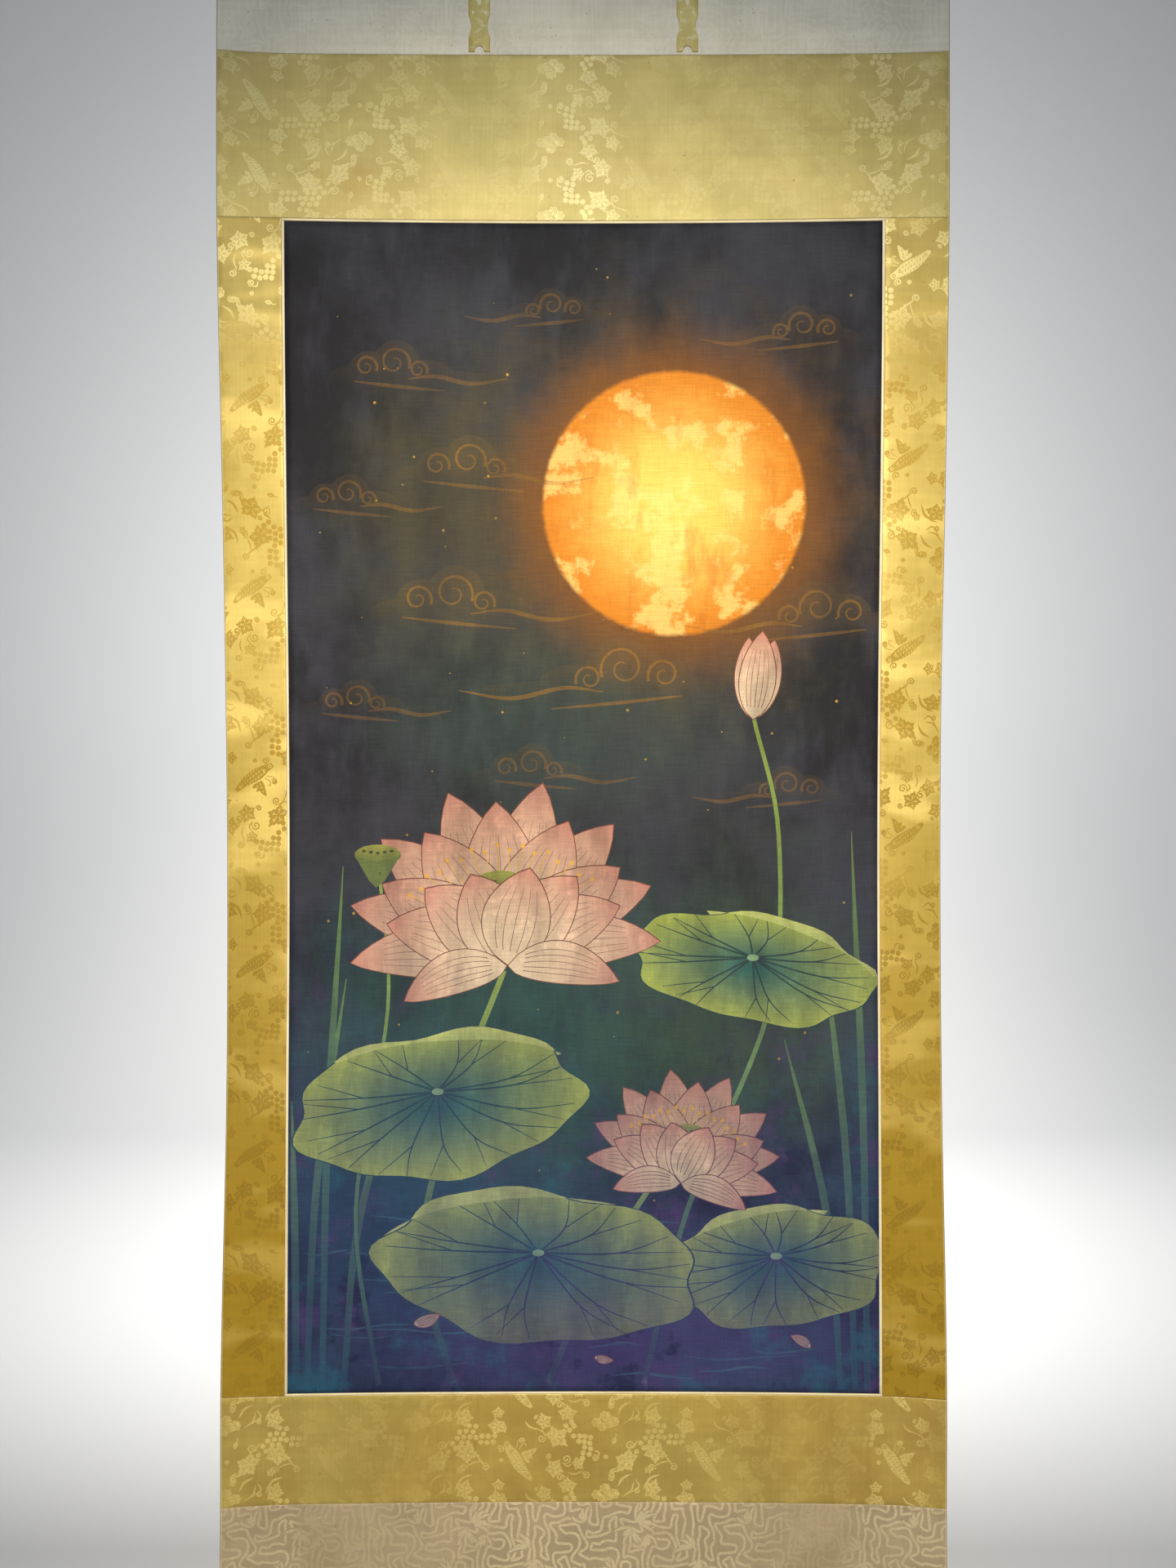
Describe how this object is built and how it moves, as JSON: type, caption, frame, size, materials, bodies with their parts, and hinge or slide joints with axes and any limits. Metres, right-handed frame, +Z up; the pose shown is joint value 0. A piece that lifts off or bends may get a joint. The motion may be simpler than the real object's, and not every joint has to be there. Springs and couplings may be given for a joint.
{
  "type": "hanging scroll painting",
  "caption": "Hanging scroll: a tall painting on silk, framed by a cream fillet and mounted in gold and grey damask with two ribbons on its top panel.",
  "frame": {"origin": "middle of the straight top edge, half-way through the cloth, where the scroll is held up", "axes": "+X across the scroll to the right as seen from the front, +Y to the back, towards the wall, +Z up; the painted front faces -Y"},
  "size_m": [0.8312, 0.0374, 2.2199],
  "materials": {
    "grey_damask": "silk damask backed with paper, grey-beige with fine pale flower sprays and wandering lines",
    "gold_damask": "silk damask backed with paper, old gold with woven grape vines and butterflies",
    "ribbon_silk": "thin olive-gold silk",
    "cream_silk": "plain cream silk",
    "painted_silk": "dark indigo painted silk with a fine open weave, backed with paper"
  },
  "bodies": {
    "root": {"heaven_panel": "grey_damask", "ribbon_left": "ribbon_silk", "ribbon_right": "ribbon_silk", "upper_band": "gold_damask", "border_left": "gold_damask", "border_right": "gold_damask", "fillet_top": "cream_silk", "fillet_left": "cream_silk", "painting": "painted_silk", "fillet_right": "cream_silk", "fillet_bottom": "cream_silk", "lower_band": "gold_damask", "earth_panel": "grey_damask"}
  },
  "joints": []
}
